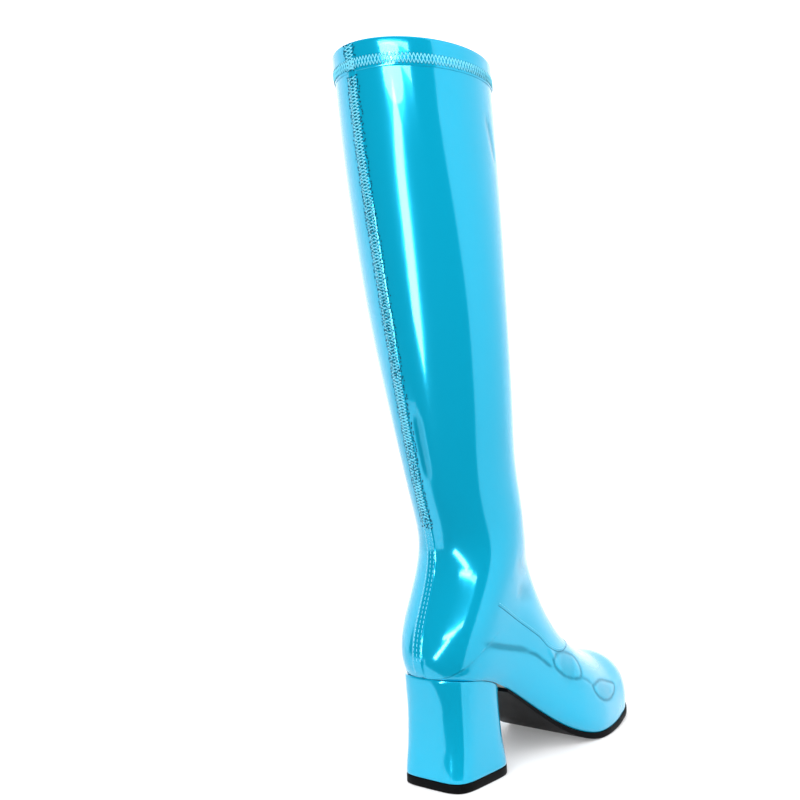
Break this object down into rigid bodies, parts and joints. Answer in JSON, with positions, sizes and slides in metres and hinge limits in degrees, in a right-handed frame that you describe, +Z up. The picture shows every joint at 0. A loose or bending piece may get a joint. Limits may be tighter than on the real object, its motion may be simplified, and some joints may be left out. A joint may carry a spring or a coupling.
{
  "type": "knee-high block heel boot",
  "caption": "Knee-high boot with a tall fitted shaft, rounded square toe, steep arch, covered block heel, thin outsole and an inner side zip; open inside.",
  "frame": {"origin": "on the floor under the middle of the whole boot's box", "axes": "+Z up along the shaft, +X towards the toe, +Y towards the inner side of the leg, where the zip is"},
  "size_m": [0.2648, 0.1106, 0.5021],
  "materials": {
    "patent": "high-gloss patent, stretch-backed",
    "heel_cover": "high-gloss patent over a moulded block",
    "sock": "matte sock lining on board",
    "sole": "satin black",
    "lift": "satin black",
    "zip_tape": "woven tape with a coil chain",
    "zip_metal": "plated"
  },
  "bodies": {
    "boot": {"upper": "patent", "collar_hem": "patent", "insole": "sock", "outsole": "sole", "heel": "heel_cover", "top_lift": "lift", "zip_chain": "zip_tape", "zip_slider": "zip_metal"},
    "zip_pull": {"zip_pull": "zip_metal"}
  },
  "joints": [
    {"name": "zip_pull_hinge", "type": "hinge", "parent": "boot", "child": "zip_pull", "pos_m": [-0.06827, 0.0533, 0.48638], "axis": [0.9942, -0.0961, 0.049], "range_deg": [0, 150]}
  ]
}
